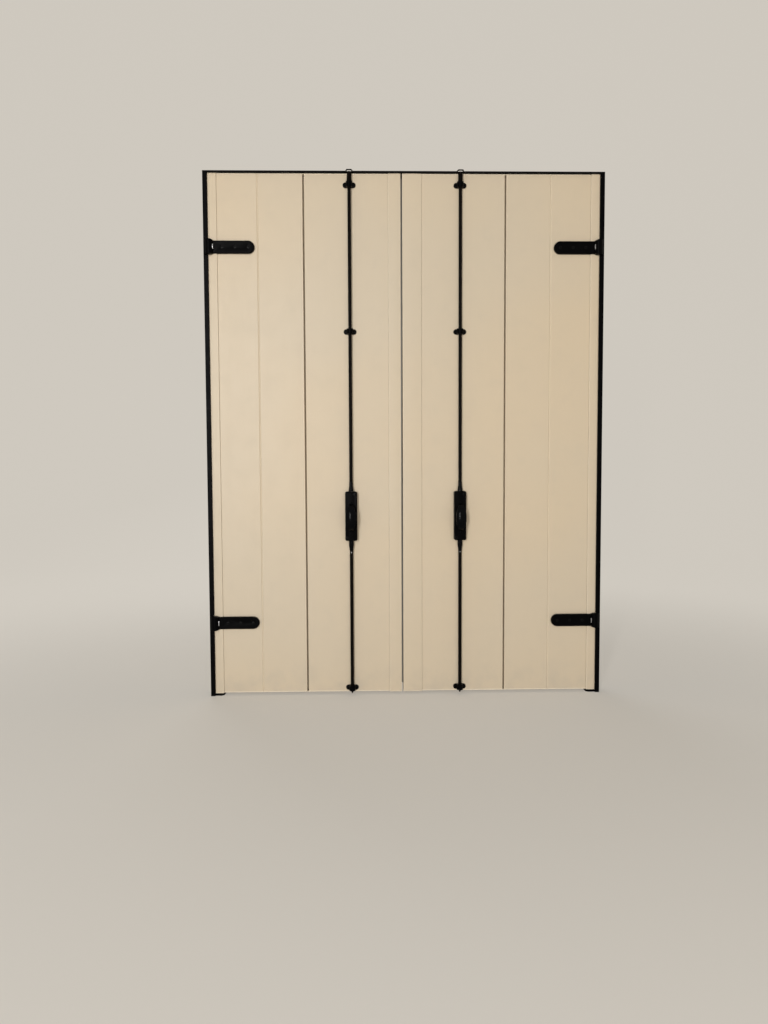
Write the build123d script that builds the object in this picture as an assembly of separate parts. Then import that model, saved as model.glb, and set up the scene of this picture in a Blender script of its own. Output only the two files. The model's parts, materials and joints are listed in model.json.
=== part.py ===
from build123d import *
import os
from math import acos, cos, pi, radians, sin, sqrt, tan

# A pair of boarded aluminium shutter leaves in a slim black frame, seen closed from the room.
# X runs to the right as seen from the room, Y points outdoors and Z up.
# Hinge-side pieces are drawn for the left leaf, with x counted from the wall on the left,
# and mirrored for the right leaf. Lock pieces are drawn about the middle of the handle.
# The exported origin is the middle of the whole object's footprint, at its lowest point.

# Wall opening and frame profiles
opening_width = 995.0
opening_height = 1310.0
jamb_web = 2.0
jamb_flange = 2.0
jamb_flange_width = 11.0
jamb_front = -5.0
jamb_back = 42.0
jamb_corner_radius = 1.0
head_thickness = 2.0
head_clearance = 1.0
seal_gap = 0.3
jamb_seal_width = 6.0
head_seal_lap = 1.5
rod_passage = 11.0
fixing_hole = 3.25
fixing_depth = 20.0
fixing_pitch = 380.0
head_fixing_pitch = 620.0
corner_block_size = (5.0, 26.0, 36.0)
corner_block_front = 8.0
foot_thickness = 3.5
foot_reach = 33.0
foot_height = 38.0
foot_front = -1.0
foot_back = 34.0
foot_leg = 3.0
foot_corner = 6.0
foot_hole_reach = 25.0
foot_hole = 2.6

# Leaf profiles
leaf_foot_clearance = 2.5
leaf_lap = 2.5
leaf_depth = 44.0
stile_wall = 3.0
stile_corner_radius = 1.5
hinge_stile_width = 24.0
left_meeting_stile_width = 31.0
right_meeting_stile_width = 48.0
meeting_gap = 4.0
board_gap = 4.0
board_wall = 1.6
board_rib = 1.5
hinge_grip = 13.7
meeting_grip = 17.8
board_bevel = 0.8
vee_half_width = 2.5
vee_depth = 1.5
tongue_thickness = 10.0
tongue_clearance = 0.2
tongue_engagement = 7.0
tongue_end_clearance = 1.0
rib_spacing = 32.0
closer_thickness = 1.5
closer_inset = 1.0
meeting_seal_base = 0.7
meeting_seal_base_width = 8.0
meeting_seal_lip = 1.7
meeting_seal_lip_thickness = 1.6
meeting_seal_depth = 15.0
meeting_seal_stop = 20.0

# Goose-neck strap hinges and their pintles
hinge_inset = 181.5
pin_radius = 5.0
pin_play = 0.05
eye_radius = 8.0
pin_depth = 54.0
eye_height = 36.0
neck_thickness = 4.0
neck_clearance = 1.25
strap_height = 31.0
strap_reach = 114.0
strap_thickness = 5.0
strap_edge = 1.2
shoulder_radius = 10.5
shoulder_depth = 3.5
shoulder_height = 36.5
shoulder_offset = 2.5
shoulder_slope_start = 6.0
shoulder_edge = 2.0
strap_screw_reach = (35.0, 67.0, 99.0)
notch_clearance = 1.5
washer_thickness = 1.2
pintle_plate = 3.8
pintle_plate_front = 6.0
pintle_height = 44.0
pintle_post_radius = 7.5
pintle_post_height = 30.0
pin_rise = 4.0
pin_dome = 2.0
rivet_radius = 2.0
rivet_head_radius = 3.4
rivet_head_height = 1.4

# Lock housing, handle and gear
lock_height = 448.5
rod_depth = -7.0
housing_half_width = 15.0
housing_top = 65.5
housing_bottom = -58.5
housing_front = -16.0
housing_wall = 2.0
housing_face = 2.5
housing_corner = 4.0
housing_edge = 2.0
back_plate_thickness = 1.5
gear_module = 1.5
gear_teeth = 11
pressure_angle = 25.0
tooth_addendum = 1.3
tooth_dedendum = 1.7
gear_play = 0.2
gear_thickness = 5.0
flank_steps = 3
spindle_radius = 5.0
spindle_play = 0.05
spindle_square = 6.4
rear_journal = 3.0
handle_length = 79.0
handle_width = 26.0
handle_base = 4.0
handle_base_width = 22.0
handle_gap = 0.3
bow_rise = 23.0
bow_thickness = 7.0
bow_crown = 4.0
bow_shoulder = 5.0
post_radius = 4.0
upper_screw_place = (10.0, 58.0)
lower_screw_place = (-10.0, -51.0)

# Bolt rods, racks and guides
rod_radius = 4.25
rod_play = 0.1
stud_radius = 4.0
rack_side_clearance = 0.2
rack_teeth_behind = 25.0
rack_teeth_ahead = 13.5
upper_bridge = (40.0, 50.0)
lower_bridge = (30.0, 40.0)
bridge_reach = 4.5
upper_ferrule_length = 24.0
lower_ferrule_length = 26.0
upper_ferrule_collar = 3.0
lower_ferrule_collar = 12.0
ferrule_radius = 6.2
ferrule_lip = 0.4
ferrule_gap = 0.3
stud_in_ferrule = 11.5
rod_tip_radius = 5.75
rod_tip_chamfer = 1.0
rod_point_length = 7.0
rod_point_radius = 1.0
rod_end_gap = 1.0
keeper_width = 18.0
keeper_play = 0.8
keeper_reach = 10.0
keeper_notch_back = 1.0
guide_half_length = 16.0
guide_half_height = 6.5
guide_base = 3.0
guide_arch_radius = 8.0
guide_screw_place = 11.0
bottom_guide_height = 12.0
middle_guide_height = 912.5
top_guide_inset = 30.0
screw_shank = 2.0
screw_head = 3.8
screw_head_height = 2.0
screw_grip = 9.0
screw_play = 0.1

# Places that follow from the sizes above
leaf_edge = jamb_flange_width - leaf_lap
leaf_bottom = foot_thickness + leaf_foot_clearance
head_bottom = opening_height - head_thickness
leaf_top = head_bottom - head_clearance
board_front = stile_wall
board_back = leaf_depth - stile_wall
board_zone = (
    opening_width - 2 * leaf_edge - 2 * hinge_stile_width - meeting_gap
    - left_meeting_stile_width - right_meeting_stile_width
) / 2
zone_start = leaf_edge + hinge_stile_width
zone_end = zone_start + board_zone
board_module = (board_zone + hinge_grip + meeting_grip) / 2
board_half = (board_module - board_gap) / 2
hinge_board_middle = zone_start - hinge_grip + board_module / 2
meeting_board_middle = hinge_board_middle + board_module
tongue_length = board_gap + tongue_engagement
groove_depth = tongue_engagement + tongue_end_clearance
closer_bottom = leaf_bottom + closer_inset
closer_top = leaf_top - closer_inset
board_bottom = closer_bottom + closer_thickness
board_top = closer_top - closer_thickness
lower_hinge = leaf_bottom + hinge_inset
upper_hinge = leaf_top - hinge_inset
hinge_heights = {"top": upper_hinge, "bottom": lower_hinge}
pin_place = leaf_edge - neck_clearance - neck_thickness / 2
eye_half = eye_height / 2
shoulder_half = shoulder_height / 2
lock_z = leaf_bottom + lock_height
rod_top = leaf_top - lock_z
rod_bottom = leaf_bottom - lock_z - rod_end_gap
housing_inside = housing_half_width - housing_wall
pitch_radius = gear_module * gear_teeth / 2
rack_pitch = pi * gear_module
rack_root = pitch_radius + tooth_dedendum
rack_back = housing_inside - rack_side_clearance
rack_corner = housing_corner - housing_wall + rack_side_clearance
gear_front = rod_depth - gear_thickness / 2
gear_back = rod_depth + gear_thickness / 2
handle_back = housing_front - handle_gap
handle_face = handle_back - handle_base
bow_front = handle_face - bow_rise
guide_heights = (bottom_guide_height, middle_guide_height, leaf_top - leaf_bottom - top_guide_inset)
keeper_front = rod_depth - keeper_reach
rod_line = {"left": meeting_board_middle - opening_width / 2}
rod_line["right"] = -rod_line["left"]
depth_shift = -(pin_depth + eye_radius + bow_front) / 2


def block(x0, x1, y0, y1, z0, z1):
    """A box between two corners."""
    return Pos((x0 + x1) / 2, (y0 + y1) / 2, (z0 + z1) / 2) * Box(x1 - x0, y1 - y0, z1 - z0)


def upright(outline, z0, z1):
    """A plan outline raised from z0 to z1."""
    return Pos(0, 0, z0) * extrude(outline, z1 - z0)


def facing(outline, y0, y1):
    """An outline drawn as the room sees it, given depth from y0 to y1."""
    return Pos(0, y1, 0) * (Plane.XZ * extrude(outline, y1 - y0))


def sideways(outline, x0, x1):
    """An outline drawn in depth and height, given width from x0 to x1."""
    return Pos(x0, 0, 0) * (Plane.YZ * extrude(outline, x1 - x0))


def post(x, y, radius, z0, z1):
    """A cylinder standing on a plan point."""
    return Pos(x, y, (z0 + z1) / 2) * Cylinder(radius, z1 - z0)


def peg(x, z, radius, y0, y1):
    """A cylinder that runs in depth."""
    return Pos(x, (y0 + y1) / 2, z) * Rot(90, 0, 0) * Cylinder(radius, y1 - y0)


def turned(profile, z=0.0):
    """A turned piece from a list of radius and height points."""
    face = make_face(Plane.XZ * Polyline(*profile, close=True))
    return Pos(0, 0, z) * revolve(face, Axis.Z)


def countersunk(head, head_height, shank, length, play=0.0):
    """A countersunk screw whose head lies at z = 0 and whose shank points down."""
    return turned([
        (0, play), (head + 2 * play, play), (shank + play, -head_height), (shank + play, -length), (0, -length),
    ])


def wall_holes(heights, depth, radius, x0, x1):
    """Cylinders along X through a jamb, as cutting tools."""
    return [Pos((x0 + x1) / 2, depth, z) * Rot(0, 90, 0) * Cylinder(radius, x1 - x0) for z in heights]


def fixing_heights():
    """Heights of the four wall fixings of a jamb."""
    middle = opening_height / 2
    return [middle + (step - 1.5) * fixing_pitch for step in range(4)]


def pintle_rivets(height):
    """Places of the two rivets of a pintle's plate."""
    low = height - eye_half - pintle_height
    return [(pintle_plate_front + 8.0, low + 10.0), (pintle_plate_front + 22.0, low + 26.0)]


def foot_rivets():
    """Places of the two rivets of a foot."""
    return [(foot_front + 13.0, foot_height - 10.0), (foot_back - 8.0, foot_height - 10.0)]


def corner_screws():
    """Depths of the two screws into a corner block."""
    middle = corner_block_front + corner_block_size[1] / 2
    return [middle - 7.0, middle + 7.0]


def jamb_rivets():
    """Every rivet through one jamb, as depth, height and plate thickness."""
    found = [(y, z, foot_leg) for y, z in foot_rivets()]
    for height in hinge_heights.values():
        found += [(y, z, pintle_plate) for y, z in pintle_rivets(height)]
    return found


def hinge_notches():
    """Height ranges in which the jamb flange and its seal make room for a strap's shoulder."""
    half = shoulder_half + notch_clearance
    return [(height - half, height + half) for height in (lower_hinge, upper_hinge)]


def between_notches(low, high):
    """The stretches of a strip that the hinge notches leave."""
    edges = [low] + [edge for notch in hinge_notches() for edge in notch] + [high]
    return list(zip(edges[::2], edges[1::2]))


def make_jamb():
    outline = Polygon(
        (0, jamb_front), (jamb_flange_width, jamb_front),
        (jamb_flange_width, jamb_front + jamb_flange), (jamb_web, jamb_front + jamb_flange),
        (jamb_web, jamb_back), (0, jamb_back), align=None,
    )
    jamb = upright(outline, 0, head_bottom)
    tip = jamb.edges().filter_by(Axis.Z).sort_by(Axis.X)[-2:]
    jamb = fillet(tip, jamb_corner_radius * 0.8)
    for low, high in hinge_notches():
        jamb -= block(jamb_web, jamb_flange_width + 1, jamb_front - 1, 0, low, high)
    for hole in wall_holes(fixing_heights(), fixing_depth, fixing_hole, -1, jamb_web + 1):
        jamb -= hole
    for y, z, _ in jamb_rivets():
        jamb -= wall_holes([z], y, rivet_radius + 0.05, -1, jamb_web + 1)[0]
    return jamb


def make_jamb_seal():
    x1 = jamb_flange_width
    y0, y1 = jamb_front + jamb_flange, -seal_gap
    outline = Polygon(
        (x1 - jamb_seal_width, y0), (x1, y0), (x1, y1 - 0.9), (x1 - 1.2, y1),
        (x1 - jamb_seal_width + 1.5, y1), (x1 - jamb_seal_width, y1 - 1.5), align=None,
    )
    return Compound([upright(outline, low, high) for low, high in between_notches(foot_thickness, head_bottom)])


def make_pintle(height):
    """A plate on the jamb that carries the hinge pin outside the leaf."""
    high = height - eye_half - washer_thickness
    low = height - eye_half - pintle_height
    plate_outline = Polygon(
        (pintle_plate_front, low), (pintle_plate_front + 24, low), (jamb_back, high - pintle_post_height),
        (pin_depth, high - pintle_post_height), (pin_depth, high), (pintle_plate_front, high), align=None,
    )
    plate_outline = fillet(plate_outline.vertices().sort_by(Axis.X)[:2], 4)
    pintle = sideways(plate_outline, jamb_web, jamb_web + pintle_plate)
    pintle += post(pin_place, pin_depth, pintle_post_radius, high - pintle_post_height, high)
    crown = height + eye_half + pin_rise
    pin = post(pin_place, pin_depth, pin_radius, high, crown)
    pintle += chamfer(pin.edges().sort_by(Axis.Z)[-1], pin_dome)
    for y, z in pintle_rivets(height):
        pintle -= Pos(jamb_web + pintle_plate, y, z) * Rot(0, 90, 0) * countersunk(
            rivet_head_radius, rivet_head_height, rivet_radius, pintle_plate + 1, 0.05)
    return pintle


def make_washer(height):
    z0 = height - eye_half - washer_thickness
    ring = Circle(eye_radius) - Circle(pin_radius + 0.1)
    return Pos(pin_place, pin_depth, 0) * upright(ring, z0, z0 + washer_thickness)


def make_foot():
    sill_leg = Polygon(
        (jamb_web, foot_front), (foot_reach - foot_corner, foot_front), (foot_reach, foot_front + foot_corner),
        (foot_reach, foot_back - foot_corner), (foot_reach - foot_corner, foot_back), (jamb_web, foot_back),
        align=None,
    )
    foot = upright(sill_leg, 0, foot_thickness)
    foot += block(jamb_web, jamb_web + foot_leg, foot_front, foot_back, 0, foot_height)
    foot -= post(foot_hole_reach, (foot_front + foot_back) / 2, foot_hole, -1, foot_thickness + 1)
    for y, z in foot_rivets():
        foot -= Pos(jamb_web + foot_leg, y, z) * Rot(0, 90, 0) * countersunk(
            rivet_head_radius, rivet_head_height, rivet_radius, foot_leg + 1, 0.05)
    return foot


def make_corner_block():
    wide, deep, tall = corner_block_size
    piece = block(jamb_web, jamb_web + wide, corner_block_front, corner_block_front + deep, head_bottom - tall,
                  head_bottom)
    for y in corner_screws():
        piece -= post(jamb_web + wide / 2, y, 1.5 + 0.05, head_bottom - 16, head_bottom + 1)
    return piece


def make_jamb_fasteners():
    """Rivets of the pintles and the foot, and the two corner screws."""
    pieces = []
    for y, z, thickness in jamb_rivets():
        rivet = countersunk(rivet_head_radius, rivet_head_height, rivet_radius, thickness + jamb_web)
        pieces.append(Pos(jamb_web + thickness, y, z) * Rot(0, 90, 0) * rivet)
    for y in corner_screws():
        screw = countersunk(3.0, 1.5, 1.5, 14)
        pieces.append(Pos(jamb_web + corner_block_size[0] / 2, y, opening_height) * screw)
    return pieces


def make_head():
    half = opening_width / 2
    head = block(-half, half, jamb_front, jamb_back, head_bottom, opening_height)
    for x in rod_line.values():
        head -= block(x - keeper_width / 2, x + keeper_width / 2, jamb_front - 1, keeper_notch_back,
                      head_bottom - 1, opening_height + 1)
    for side in (-1, 1):
        head -= post(side * head_fixing_pitch / 2, fixing_depth, fixing_hole, head_bottom - 1, opening_height + 1)
        for y in corner_screws():
            place = Pos(side * (half - jamb_web - corner_block_size[0] / 2), y, opening_height)
            head -= place * countersunk(3.0, 1.5, 1.5, 14, 0.05)
    return head


def make_keeper(x):
    outline = Polygon(
        (-keeper_width / 2, keeper_notch_back), (-keeper_width / 2, rod_depth),
        (-keeper_width / 2 + 3, keeper_front), (keeper_width / 2 - 3, keeper_front),
        (keeper_width / 2, rod_depth), (keeper_width / 2, keeper_notch_back), align=None,
    )
    outline -= Pos(0, rod_depth) * Circle(rod_tip_radius + keeper_play)
    return Pos(x, 0, 0) * upright(outline, head_bottom, opening_height)


def make_head_seal():
    half = opening_width / 2 - jamb_flange_width
    stops = [-half]
    for x in sorted(rod_line.values()):
        stops += [x - rod_passage, x + rod_passage]
    stops.append(half)
    z0 = leaf_top - head_seal_lap
    outline = Polygon(
        (jamb_front, z0 + 1.0), (jamb_front + 1.5, z0), (-seal_gap - 0.6, z0), (-seal_gap, z0 + 0.6),
        (-seal_gap, head_bottom), (jamb_front, head_bottom), align=None,
    )
    return Compound([sideways(outline, x0, x1) for x0, x1 in zip(stops[::2], stops[1::2])])


def make_stile(x_web, x_tip):
    """A U profile whose web stands at x_web and whose flanges end at x_tip."""
    outline = Pos((x_web + x_tip) / 2, leaf_depth / 2) * Rectangle(abs(x_tip - x_web), leaf_depth)
    outline = fillet(outline.vertices(), stile_corner_radius)
    inner = x_web + stile_wall if x_tip > x_web else x_web - stile_wall
    beyond = x_tip + 5 if x_tip > x_web else x_tip - 5
    outline -= Pos((inner + beyond) / 2, leaf_depth / 2) * Rectangle(abs(beyond - inner), board_back - board_front)
    return upright(outline, leaf_bottom, leaf_top)


def board_outline():
    """The board's section about its middle groove, with the tongue towards +X."""
    end = board_half
    bevel = board_bevel
    middle = (board_front + board_back) / 2
    tongue = tongue_thickness / 2
    groove = tongue + tongue_clearance
    half_face = [
        (-end, board_front + bevel), (-end + bevel, board_front), (-vee_half_width, board_front),
        (0, board_front + vee_depth), (vee_half_width, board_front), (end - bevel, board_front),
        (end, board_front + bevel), (end, middle - tongue), (end + tongue_length - bevel, middle - tongue),
        (end + tongue_length, middle - tongue + bevel),
    ]
    other_face = [(x, 2 * middle - y) for x, y in reversed(half_face)]
    recess = [
        (-end, middle + groove), (-end + groove_depth, middle + groove),
        (-end + groove_depth, middle - groove), (-end, middle - groove),
    ]
    return Polygon(*half_face, *other_face, *recess, align=None)


def board_chambers():
    """Plan rectangles of the hollow chambers between the ribs."""
    middle = (board_front + board_back) / 2
    deep = board_back - board_front - 2 * board_wall
    first = -board_half + groove_depth + board_wall
    last = board_half - board_wall
    ribs = [-2 * rib_spacing - vee_half_width, -rib_spacing - vee_half_width, 0.0]
    ribs += [rib_spacing + vee_half_width, 2 * rib_spacing + vee_half_width]
    edges = [first]
    for rib in ribs:
        half = vee_half_width + 0.5 if rib == 0.0 else board_rib / 2
        edges += [rib - half, rib + half]
    edges.append(last)
    chambers = [
        Pos((x0 + x1) / 2, middle) * Rectangle(x1 - x0, deep) for x0, x1 in zip(edges[::2], edges[1::2])
    ]
    lip = (board_back - board_front - tongue_thickness) / 2 - tongue_clearance - 2 * board_wall
    wide = groove_depth - board_wall
    for side in (-1, 1):
        y = middle + side * (tongue_thickness / 2 + tongue_clearance + board_wall + lip / 2)
        chambers.append(Pos(-board_half + board_wall + wide / 2, y) * Rectangle(wide, lip))
    return chambers


def make_board(middle_x, screw_places):
    section = board_outline()
    for chamber in board_chambers():
        section -= chamber
    board = Pos(middle_x, 0, 0) * upright(section, board_bottom, board_top)
    for x, z in screw_places:
        board -= peg(x, z, screw_shank + screw_play, board_front - 1, board_front + screw_grip + 1)
    return board


def make_closers(x0, x1):
    return [
        block(x0, x1, board_front, board_back, closer_bottom, board_bottom),
        block(x0, x1, board_front, board_back, board_top, closer_top),
    ]


def make_meeting_seal(x_edge):
    """A rubber lip on the meeting edge, which stands towards the other leaf."""
    y, half = meeting_seal_depth, meeting_seal_base_width / 2
    lip, tip = meeting_seal_lip_thickness / 2, meeting_seal_lip
    outline = Polygon(
        (0, y - half), (meeting_seal_base, y - half + 0.5), (meeting_seal_base, y - lip), (tip - 0.4, y - lip),
        (tip, y), (tip - 0.4, y + lip), (meeting_seal_base, y + lip), (meeting_seal_base, y + half - 0.5),
        (0, y + half), align=None,
    )
    return Pos(x_edge, 0, 0) * upright(outline, leaf_bottom + meeting_seal_stop, leaf_top)


def strap_screws(height):
    return [(jamb_flange_width + reach, height) for reach in strap_screw_reach]


def make_strap(height):
    """One casting: the strap, its shoulder, the goose-neck past the leaf's edge and the eye."""
    start = jamb_flange_width + shoulder_offset
    end = jamb_flange_width + strap_reach
    half = strap_height / 2
    plan = Pos((start + end - half) / 2, 0) * Rectangle(end - half - start, strap_height)
    plan += Pos(end - half, 0) * Circle(half)
    strap = facing(plan, -strap_thickness, board_front)
    strap = chamfer(strap.faces().sort_by(Axis.Y)[0].edges(), strap_edge)
    strap -= block(0, zone_start + 0.2, 0, board_front + 1, -half - 1, half + 1)
    shoulder = Pos(start, -shoulder_depth) * Circle(shoulder_radius)
    shoulder &= Pos(start, -shoulder_radius) * Rectangle(4 * shoulder_radius, 2 * shoulder_radius)
    shoulder = upright(shoulder, -shoulder_half, shoulder_half)
    front_view = Polygon(
        (0, -shoulder_half), (jamb_flange_width + shoulder_slope_start, -shoulder_half),
        (start + shoulder_radius + 0.5, -half), (start + shoulder_radius + 0.5, half),
        (jamb_flange_width + shoulder_slope_start, shoulder_half), (0, shoulder_half), align=None,
    )
    front_view = fillet(front_view.vertices().sort_by(Axis.X)[:2], shoulder_edge)
    shoulder &= facing(front_view, -3 * shoulder_radius, 1)
    neck_side = Polygon(
        (-shoulder_depth - 4, -eye_half + 2), (2, -eye_half), (pin_depth, -eye_half), (pin_depth, eye_half),
        (2, eye_half), (-shoulder_depth - 4, eye_half - 2), align=None,
    )
    neck = sideways(neck_side, pin_place - neck_thickness / 2, pin_place + neck_thickness / 2)
    eye = post(pin_place, pin_depth, eye_radius, -eye_half, eye_half)
    strap = strap + shoulder + neck + eye
    strap -= post(pin_place, pin_depth, pin_radius + pin_play, -eye_half - 1, eye_half + 1)
    for x, _ in strap_screws(0):
        strap -= Pos(x, -strap_thickness, 0) * Rot(90, 0, 0) * countersunk(
            screw_head, screw_head_height, screw_shank, 2 * screw_grip, screw_play)
    return Pos(0, 0, height) * strap


def make_screw(x, z, face, grip):
    """A screw with its head at the given face, pointing outdoors."""
    screw = countersunk(screw_head, screw_head_height, screw_shank, grip)
    return Pos(x, face, z) * Rot(90, 0, 0) * screw


def make_guide():
    """A guide about the rod's line: a base with full-round ends and an arch over the rod."""
    straight = guide_half_length - guide_half_height
    plan = Rectangle(2 * straight, 2 * guide_half_height)
    plan += Pos(-straight, 0) * Circle(guide_half_height) + Pos(straight, 0) * Circle(guide_half_height)
    guide = facing(plan, board_front - guide_base, board_front)
    arch = Pos(0, rod_depth) * Circle(guide_arch_radius)
    arch += Pos(0, (rod_depth + board_front) / 2) * Rectangle(2 * guide_arch_radius, board_front - rod_depth)
    guide += upright(arch, -guide_half_height, guide_half_height)
    guide -= post(0, rod_depth, rod_radius + rod_play, -guide_half_height - 1, guide_half_height + 1)
    for x in (-guide_screw_place, guide_screw_place):
        guide -= Pos(x, board_front - guide_base, 0) * Rot(90, 0, 0) * countersunk(
            screw_head, screw_head_height, screw_shank, 2 * screw_grip, screw_play)
    return guide


def housing_outline(inset):
    """The housing's front view, or its cavity where an inset is given."""
    tall = housing_top - housing_bottom - 2 * inset
    outline = Rectangle(2 * (housing_half_width - inset), tall)
    outline = fillet(outline.vertices(), housing_corner - inset)
    return Pos(0, (housing_top + housing_bottom) / 2) * outline


def lock_screw_places():
    return [upper_screw_place, lower_screw_place]


def make_housing():
    """The casing over the gear and the racks, open towards the board."""
    housing = facing(housing_outline(0), housing_front, board_front)
    housing = chamfer(housing.faces().sort_by(Axis.Y)[0].edges(), housing_edge)
    housing -= facing(housing_outline(housing_wall), housing_front + housing_face, board_front + 1)
    for x, z in lock_screw_places():
        pillar = peg(x, z, post_radius, housing_front + housing_face, board_front - back_plate_thickness)
        housing += pillar & facing(housing_outline(housing_wall / 2), housing_front, board_front)
        housing -= Pos(x, housing_front, z) * Rot(90, 0, 0) * countersunk(
            screw_head, screw_head_height, screw_shank, 3 * screw_grip, screw_play)
    housing -= peg(0, 0, spindle_radius + spindle_play, housing_front - 1, housing_front + housing_face + 1)
    housing -= post(0, rod_depth, stud_radius + rod_play, housing_bottom - 1, housing_bottom + housing_wall + 1)
    housing -= post(0, rod_depth, stud_radius + rod_play, housing_top - housing_wall - 1, housing_top + 1)
    return housing


def make_back_plate():
    plate = facing(housing_outline(housing_wall), board_front - back_plate_thickness, board_front)
    plate -= peg(0, 0, rear_journal + spindle_play, board_front - 3, board_front + 1)
    for x, z in lock_screw_places():
        plate -= peg(x, z, screw_shank + screw_play, board_front - 3, board_front + 1)
    return plate


def involute(angle):
    return tan(angle) - angle


def half_tooth_angle(radius):
    """Half the angle that one gear tooth spans at a radius."""
    base_radius = pitch_radius * cos(radians(pressure_angle))
    at_pitch = (rack_pitch - gear_play) / 4 / pitch_radius - gear_play / 8 / pitch_radius
    return at_pitch + involute(radians(pressure_angle)) - involute(acos(min(1.0, base_radius / radius)))


def gear_outline():
    """Involute teeth round a hub, with the first tooth along +X."""
    base_radius = pitch_radius * cos(radians(pressure_angle))
    root_radius = pitch_radius - tooth_dedendum
    tip_radius = pitch_radius + tooth_addendum
    outline = Circle(root_radius)
    flank = [base_radius + (tip_radius - base_radius) * step / flank_steps for step in range(flank_steps + 1)]
    inner = root_radius - 0.5
    side = [(inner, half_tooth_angle(base_radius))] + [(radius, half_tooth_angle(radius)) for radius in flank]
    around = [(radius, -angle) for radius, angle in side] + side[::-1]
    tooth = Polygon(*[(radius * cos(angle), radius * sin(angle)) for radius, angle in around], align=None)
    for index in range(gear_teeth):
        outline += Rot(0, 0, 360 / gear_teeth * index) * tooth
    return outline


def make_pinion():
    """The gear with its spindle through the housing's face and a journal in the back plate."""
    pinion = facing(gear_outline(), gear_front, gear_back)
    pinion += peg(0, 0, spindle_radius, handle_back, gear_front)
    pinion += facing(Rectangle(spindle_square, spindle_square), handle_face + 0.5, handle_back)
    pinion += peg(0, 0, rear_journal, gear_back, board_front - 0.1)
    return pinion


def rack_outline(first, low, high, bridge):
    """A bar toothed from low to high, with a tooth centred at first, that ends in a bridge to the rod's line.

    The bridge's outer corner clears the rounded corner inside the housing at the end of the travel.
    """
    slope = tan(radians(pressure_angle))
    half_pitch_width = (rack_pitch - gear_play) / 4 - gear_play / 8
    tip = half_pitch_width - tooth_addendum * slope
    root = half_pitch_width + tooth_dedendum * slope
    index = int((low - first) // rack_pitch) + 1
    points = [(rack_back, low), (rack_root, low)]
    while first + index * rack_pitch + root < high:
        middle = first + index * rack_pitch
        if middle - root > low:
            points += [
                (rack_root, middle - root), (pitch_radius - tooth_addendum, middle - tip),
                (pitch_radius - tooth_addendum, middle + tip), (rack_root, middle + root),
            ]
        index += 1
    points += [
        (rack_root, bridge[0]), (-bridge_reach, bridge[0]), (-bridge_reach, bridge[1]),
        (rack_back - rack_corner, bridge[1]), (rack_back, bridge[1] - rack_corner),
    ]
    return Polygon(*reversed(points), align=None)


def make_rack(first, bridge, stud_end):
    """The rack on the gear's +X side, with a stud that leaves upwards along the rod's line."""
    bar = facing(rack_outline(first, -rack_teeth_behind, rack_teeth_ahead, bridge), gear_front, gear_back)
    return bar + post(0, rod_depth, stud_radius, (bridge[0] + bridge[1]) / 2, stud_end)


def make_upper_rack():
    rack = make_rack(0.0, upper_bridge, housing_top + stud_in_ferrule)
    return rack.rotate(Axis((0, rod_depth, 0), (0, 0, 1)), 180)


def make_lower_rack():
    rack = make_rack(rack_pitch / 2, lower_bridge, stud_in_ferrule - housing_bottom)
    return mirror(rack, about=Plane.XY)


def ferrule_profile(length, collar):
    """A collar at the housing's end that tapers to the rod, bored for the stud and the rod."""
    seat = stud_in_ferrule - ferrule_gap
    return [
        (stud_radius, 0), (ferrule_radius, 0), (ferrule_radius, collar), (rod_radius + ferrule_lip, length),
        (rod_radius, length), (rod_radius, seat), (stud_radius, seat),
    ]


def make_upper_ferrule():
    profile = ferrule_profile(upper_ferrule_length, upper_ferrule_collar)
    return Pos(0, rod_depth, 0) * turned(profile, housing_top + ferrule_gap)


def make_lower_ferrule():
    ferrule = turned(ferrule_profile(lower_ferrule_length, lower_ferrule_collar))
    return Pos(0, rod_depth, housing_bottom - ferrule_gap) * mirror(ferrule, about=Plane.XY)


def tip_start():
    """Where the cap of the top rod begins, just above the top guide."""
    return guide_heights[2] + leaf_bottom - lock_z + guide_half_height + 1.0


def make_upper_rod():
    return post(0, rod_depth, rod_radius, housing_top + stud_in_ferrule, rod_top - 3.0)


def make_rod_tip():
    low, high = tip_start(), rod_top
    cap = turned([
        (rod_radius, low), (rod_tip_radius, low), (rod_tip_radius, high - rod_tip_chamfer),
        (rod_tip_radius - rod_tip_chamfer, high), (0, high), (0, high - 3.0), (rod_radius, high - 3.0),
    ])
    return Pos(0, rod_depth, 0) * cap


def make_lower_rod():
    top = housing_bottom - stud_in_ferrule
    rod = turned([
        (0, top), (rod_radius, top), (rod_radius, rod_bottom + rod_point_length),
        (rod_point_radius, rod_bottom), (0, rod_bottom),
    ])
    return Pos(0, rod_depth, 0) * rod


def lens_outline(length, width):
    """Two equal arcs that meet in points above and below."""
    radius = (length ** 2 / 4 + width ** 2 / 4) / width
    offset = radius - width / 2
    return (Pos(-offset, 0) * Circle(radius)) & (Pos(offset, 0) * Circle(radius))


def make_handle():
    """A base with a broad crowned bow that stands off it, both lens-shaped from the front."""
    base = facing(lens_outline(handle_length, handle_base_width), handle_face, handle_back)
    reach = handle_length / 2 - bow_shoulder
    arch_radius = (reach ** 2 + bow_rise ** 2) / (2 * bow_rise)
    half, shoulder, back = handle_width / 2, bow_front + bow_crown, bow_front + bow_thickness
    section = make_face(Curve() + [
        Line((half, back), (half, shoulder)), ThreePointArc((half, shoulder), (0, bow_front), (-half, shoulder)),
        Line((-half, shoulder), (-half, back)), Line((-half, back), (half, back)),
    ])
    arch_axis = Axis((0, bow_front + arch_radius, 0), (1, 0, 0))
    bow = revolve(section.rotate(arch_axis, -90), arch_axis, 180)
    bow &= facing(lens_outline(handle_length, handle_width), bow_front - 1, handle_face)
    handle = base + bow
    return handle - facing(Rectangle(spindle_square, spindle_square), handle_face, handle_back + 1)


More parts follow.
